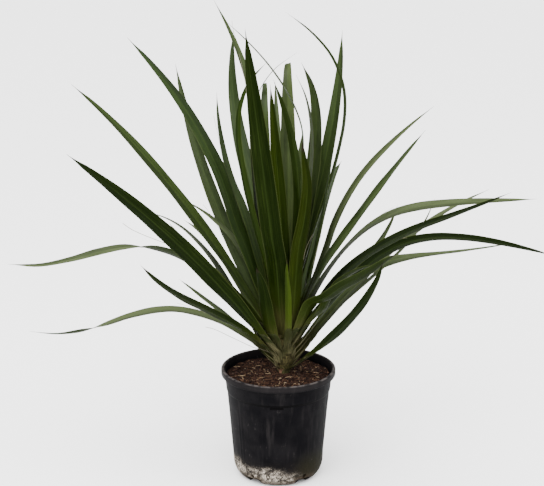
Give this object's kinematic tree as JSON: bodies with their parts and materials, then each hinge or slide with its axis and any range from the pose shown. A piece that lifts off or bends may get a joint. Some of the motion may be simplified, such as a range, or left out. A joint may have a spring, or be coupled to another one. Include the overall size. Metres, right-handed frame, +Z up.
{
  "type": "potted plant",
  "caption": "Dragon tree with long arching strap leaves fanning from a short stem, in a round tapered nursery pot of dark soil.",
  "frame": {"origin": "on the pot's axis at the level of its feet", "axes": "+Z up, +X to the right and -Y toward the viewer as the plant is seen in the picture"},
  "size_m": [0.7934, 0.5347, 0.6984],
  "materials": {
    "pot": "matt, moulded",
    "soil": "rough bark and coir",
    "stem": "dry leaf sheaths",
    "leaf": "satin leaf"
  },
  "bodies": {
    "root": {"pot": "pot", "soil": "soil", "stem": "stem", "leaf_01": "leaf", "leaf_02": "leaf", "leaf_03": "leaf", "leaf_04": "leaf", "leaf_05": "leaf", "leaf_06": "leaf", "leaf_07": "leaf", "leaf_08": "leaf", "leaf_09": "leaf", "leaf_10": "leaf", "leaf_11": "leaf", "leaf_12": "leaf", "leaf_13": "leaf", "leaf_14": "leaf", "leaf_15": "leaf", "leaf_16": "leaf", "leaf_17": "leaf", "leaf_18": "leaf", "leaf_19": "leaf", "leaf_20": "leaf", "leaf_21": "leaf", "leaf_22": "leaf", "leaf_23": "leaf", "leaf_24": "leaf", "leaf_25": "leaf", "leaf_26": "leaf", "leaf_27": "leaf", "leaf_28": "leaf", "leaf_29": "leaf", "leaf_30": "leaf", "leaf_31": "leaf", "leaf_32": "leaf", "leaf_33": "leaf", "leaf_34": "leaf", "leaf_35": "leaf", "leaf_36": "leaf", "leaf_37": "leaf", "leaf_38": "leaf", "leaf_39": "leaf", "leaf_40": "leaf", "leaf_41": "leaf", "leaf_42": "leaf", "leaf_43": "leaf", "leaf_44": "leaf", "leaf_45": "leaf", "leaf_46": "leaf", "leaf_47": "leaf", "leaf_48": "leaf", "leaf_49": "leaf", "leaf_50": "leaf", "leaf_51": "leaf", "leaf_52": "leaf"}
  },
  "joints": []
}
